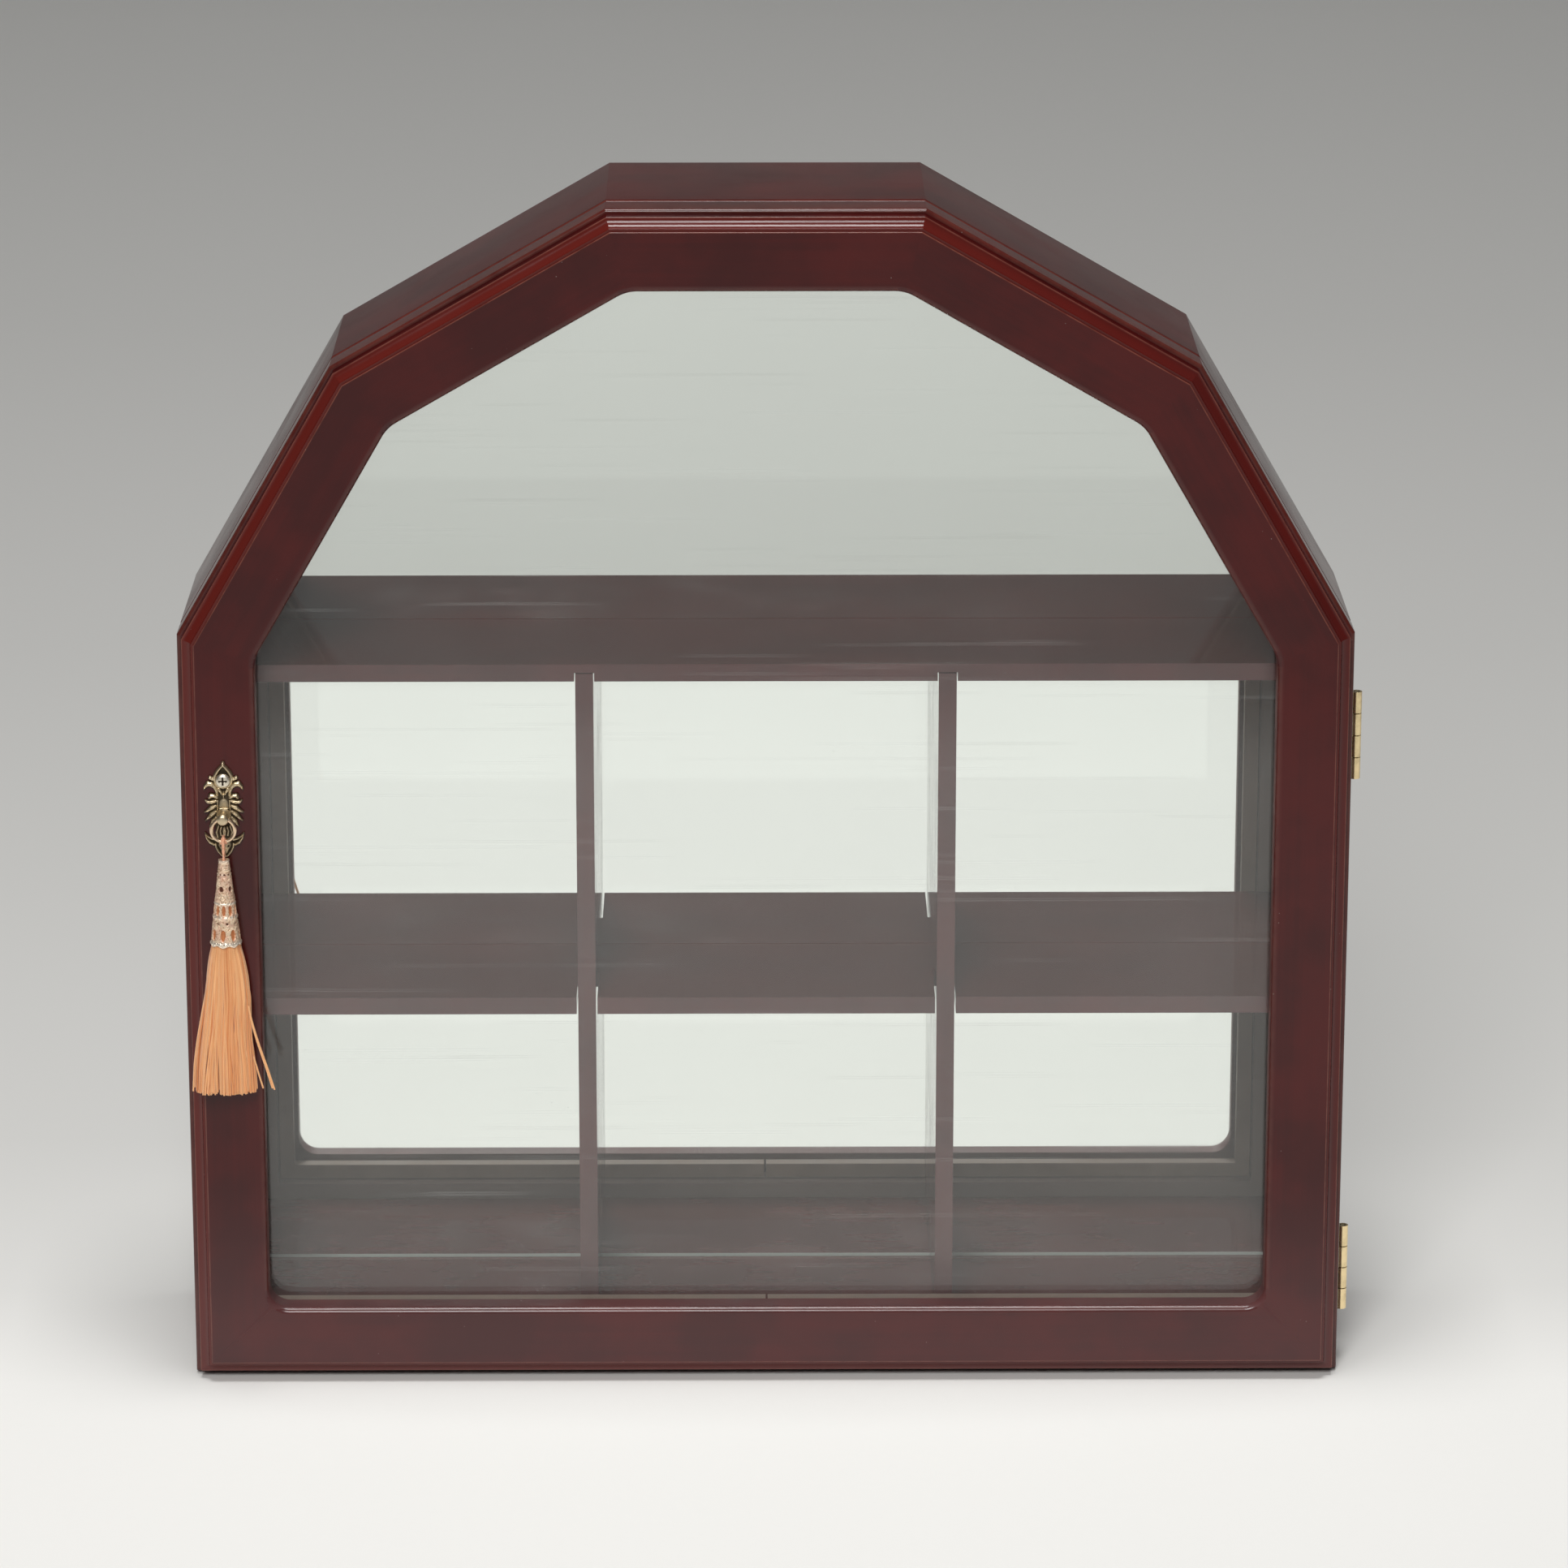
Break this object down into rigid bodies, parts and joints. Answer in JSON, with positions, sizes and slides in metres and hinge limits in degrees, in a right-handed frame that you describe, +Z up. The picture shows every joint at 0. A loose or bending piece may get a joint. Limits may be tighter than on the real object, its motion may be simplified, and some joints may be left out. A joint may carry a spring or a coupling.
{
  "type": "curio cabinet",
  "caption": "Small mirrored display cabinet with a faceted arch top, shelves and dividers behind a glazed, hinged door that opens by a tassel pull.",
  "frame": {"origin": "on the underside of the bottom board, midway between its ends and midway between the case's front and rear edges", "axes": "+Z up; the glazed door faces -Y; +X towards the hinges, with the pull on the -X side"},
  "size_m": [0.3467, 0.0898, 0.3556],
  "materials": {
    "cherry_lacquer": "dark cherry, gloss lacquer",
    "silvered_glass": "silvered float glass",
    "brown_hardboard": "plain brown hardboard",
    "clear_glass": "clear float glass",
    "brown_plastic": "soft brown plastic",
    "bright_brass": "bright brass plate",
    "antique_brass": "antique brass, dark in the recesses",
    "rose_gold": "rose gold filigree",
    "apricot_silk": "silky rayon thread",
    "zinc_steel": "zinc plated steel",
    "ferrite": "dark grey sintered ferrite"
  },
  "bodies": {
    "case": {"bottom_board": "cherry_lacquer", "side_board_left": "cherry_lacquer", "side_board_right": "cherry_lacquer", "lower_slope_board_left": "cherry_lacquer", "lower_slope_board_right": "cherry_lacquer", "upper_slope_board_left": "cherry_lacquer", "upper_slope_board_right": "cherry_lacquer", "top_board": "cherry_lacquer", "upper_shelf": "cherry_lacquer", "middle_shelf": "cherry_lacquer", "divider_left": "cherry_lacquer", "divider_right": "cherry_lacquer", "mirror": "silvered_glass", "back_panel": "brown_hardboard", "back_panel_brad_bottom_left": "zinc_steel", "back_panel_brad_bottom_right": "zinc_steel", "back_panel_brad_right_low": "zinc_steel", "back_panel_brad_right_high": "zinc_steel", "back_panel_brad_slope_right": "zinc_steel", "back_panel_brad_slope_left": "zinc_steel", "back_panel_brad_left_high": "zinc_steel", "back_panel_brad_left_low": "zinc_steel", "hanger_plate": "bright_brass", "hanger_pin_left": "bright_brass", "hanger_pin_right": "bright_brass", "catch_magnet": "ferrite", "hinge_upper_case_leaf": "bright_brass", "hinge_upper_pin": "bright_brass", "hinge_upper_case_screw_low": "zinc_steel", "hinge_upper_case_screw_high": "zinc_steel", "hinge_lower_case_leaf": "bright_brass", "hinge_lower_pin": "bright_brass", "hinge_lower_case_screw_low": "zinc_steel", "hinge_lower_case_screw_high": "zinc_steel"},
    "door": {"door_rail_bottom": "cherry_lacquer", "door_stile_left": "cherry_lacquer", "door_stile_right": "cherry_lacquer", "door_rail_lower_left": "cherry_lacquer", "door_rail_lower_right": "cherry_lacquer", "door_rail_upper_left": "cherry_lacquer", "door_rail_upper_right": "cherry_lacquer", "door_rail_top": "cherry_lacquer", "glass_pane": "clear_glass", "glass_retainer": "brown_plastic", "hinge_upper_door_leaf": "bright_brass", "hinge_upper_door_screw_low": "zinc_steel", "hinge_upper_door_screw_high": "zinc_steel", "hinge_lower_door_leaf": "bright_brass", "hinge_lower_door_screw_low": "zinc_steel", "hinge_lower_door_screw_high": "zinc_steel", "catch_strike": "zinc_steel", "catch_strike_screw": "zinc_steel", "pull_plate": "antique_brass", "pull_screw": "antique_brass", "pull_post": "antique_brass"},
    "ring": {"pull_ring": "antique_brass"},
    "hitch": {"tassel_hitch": "apricot_silk"},
    "tassel": {"tassel_loop": "apricot_silk", "tassel_cap": "rose_gold", "tassel_skirt": "apricot_silk"}
  },
  "joints": [
    {"name": "door_swing", "type": "hinge", "parent": "case", "child": "door", "pos_m": [0.1736, -0.0295, 0.19585], "axis": [0, 0, 1], "range_deg": [0, 180]},
    {"name": "ring_swing", "type": "hinge", "parent": "door", "child": "ring", "pos_m": [-0.1583, -0.0542, 0.17795], "axis": [-1, 0, 0], "range_deg": [0, 80]},
    {"name": "tassel_sway", "type": "hinge", "parent": "ring", "child": "hitch", "pos_m": [-0.1583, -0.0542, 0.17453], "axis": [0, 1, 0], "range_deg": [-30, 30]},
    {"name": "tassel_swing", "type": "hinge", "parent": "hitch", "child": "tassel", "pos_m": [-0.1583, -0.0542, 0.17111], "axis": [-1, 0, 0], "range_deg": [0, 75]}
  ]
}
